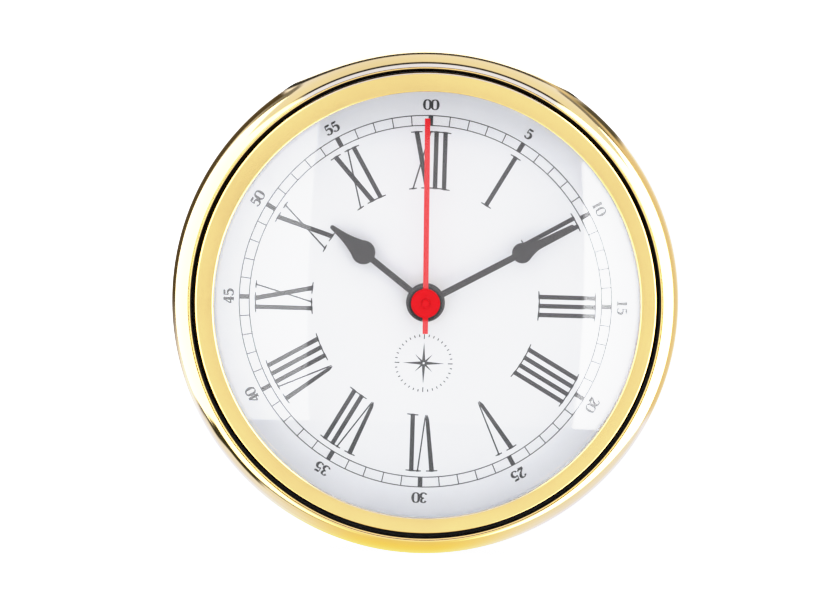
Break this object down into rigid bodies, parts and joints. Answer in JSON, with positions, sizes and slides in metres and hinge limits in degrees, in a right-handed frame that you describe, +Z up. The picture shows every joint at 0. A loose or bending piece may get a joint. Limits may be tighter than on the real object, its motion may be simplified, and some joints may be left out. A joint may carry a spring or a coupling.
{
  "type": "wall clock",
  "caption": "Round polished-brass bulkhead clock with a domed glass, Roman dial and spade hands, on a quartz insert that pulls out of its case.",
  "frame": {"origin": "centre of the back face, where the case meets the wall", "axes": "+Z up towards twelve, -Y out of the dial, +Y into the wall"},
  "size_m": [0.116, 0.0382, 0.116],
  "materials": {
    "case_brass": "polished, clear lacquer",
    "bezel_brass": "polished flat, clear lacquer",
    "rubber_black": "matt",
    "felt_black": "felt",
    "glass_clear": "polished, domed",
    "plastic_pale": "satin",
    "dial_white": "satin lacquer",
    "ink_black": "printed ink",
    "plastic_black": "fine moulded texture",
    "screw_steel": "zinc plated",
    "gear_brass": "machined",
    "core_steel": "bare",
    "copper_wire": "enamelled wire",
    "board_green": "solder mask",
    "cell_wrap": "shrink sleeve",
    "contact_steel": "nickel plated",
    "hand_red": "satin paint",
    "hand_black": "satin paint"
  },
  "bodies": {
    "case": {"case_shell": "case_brass", "back_plate": "case_brass", "felt_ring": "felt_black"},
    "insert": {"bezel_ring": "bezel_brass", "glass": "glass_clear", "glass_gasket": "rubber_black", "rehaut": "plastic_pale", "dial_plate": "dial_white", "dial_print": "ink_black", "insert_can": "plastic_black", "can_screws": "screw_steel", "grip_ring": "rubber_black", "dial_washer": "screw_steel", "hex_nut": "gear_brass", "centre_bush": "gear_brass", "movement_seal": "rubber_black", "housing": "plastic_black", "cover": "plastic_black", "cover_screws": "screw_steel", "bridge": "core_steel", "stator": "core_steel", "coil": "copper_wire", "circuit_board": "board_green", "quartz_can": "core_steel", "battery": "cell_wrap", "contact_spring": "contact_steel", "contact_plate": "contact_steel"},
    "seconds": {"second_wheel": "gear_brass", "second_hand": "hand_red"},
    "rotor_body": {"rotor": "core_steel"},
    "intermediate": {"intermediate_wheel": "gear_brass"},
    "third": {"third_wheel": "gear_brass"},
    "centre": {"centre_wheel": "gear_brass"},
    "minutes": {"cannon_pinion": "core_steel", "minute_hand": "hand_black"},
    "motion": {"motion_wheel": "gear_brass"},
    "hours": {"hour_wheel": "plastic_pale", "hour_hand": "hand_black"},
    "knob": {"setting_knob": "plastic_black"}
  },
  "joints": [
    {"name": "insert_pull", "type": "slide", "parent": "case", "child": "insert", "axis": [0, -1, 0], "range_m": [0, 0.04]},
    {"name": "second_turn", "type": "hinge", "parent": "insert", "child": "seconds", "pos_m": [0, -0.012, 0], "axis": [0, 1, 0], "continuous": true},
    {"name": "rotor_turn", "type": "hinge", "parent": "insert", "child": "rotor_body", "pos_m": [0.01244, -0.012, -0.00469], "axis": [0, 1, 0], "continuous": true},
    {"name": "intermediate_turn", "type": "hinge", "parent": "insert", "child": "intermediate", "pos_m": [0.00624, -0.012, -0.0036], "axis": [0, 1, 0], "continuous": true},
    {"name": "third_turn", "type": "hinge", "parent": "insert", "child": "third", "pos_m": [-0.00865, -0.012, 0.00865], "axis": [0, 1, 0], "continuous": true},
    {"name": "centre_turn", "type": "hinge", "parent": "insert", "child": "centre", "pos_m": [0, -0.012, 0], "axis": [0, 1, 0], "continuous": true},
    {"name": "minute_turn", "type": "hinge", "parent": "insert", "child": "minutes", "pos_m": [0, -0.012, 0], "axis": [0, 1, 0], "continuous": true},
    {"name": "motion_turn", "type": "hinge", "parent": "insert", "child": "motion", "pos_m": [0.0045, -0.012, 0.00779], "axis": [0, 1, 0], "continuous": true},
    {"name": "hour_turn", "type": "hinge", "parent": "insert", "child": "hours", "pos_m": [0, -0.012, 0], "axis": [0, 1, 0], "continuous": true},
    {"name": "knob_turn", "type": "hinge", "parent": "insert", "child": "knob", "pos_m": [0.0135, -0.012, 0.00779], "axis": [0, 1, 0], "continuous": true}
  ],
  "couplings": [
    {"joint": "rotor_turn", "follows": "second_turn", "ratio": 30},
    {"joint": "intermediate_turn", "follows": "second_turn", "ratio": -5},
    {"joint": "third_turn", "follows": "second_turn", "ratio": -0.13333},
    {"joint": "centre_turn", "follows": "second_turn", "ratio": 0.016667},
    {"joint": "motion_turn", "follows": "minute_turn", "ratio": -0.33333},
    {"joint": "hour_turn", "follows": "minute_turn", "ratio": 0.083333},
    {"joint": "knob_turn", "follows": "minute_turn", "ratio": 1}
  ]
}
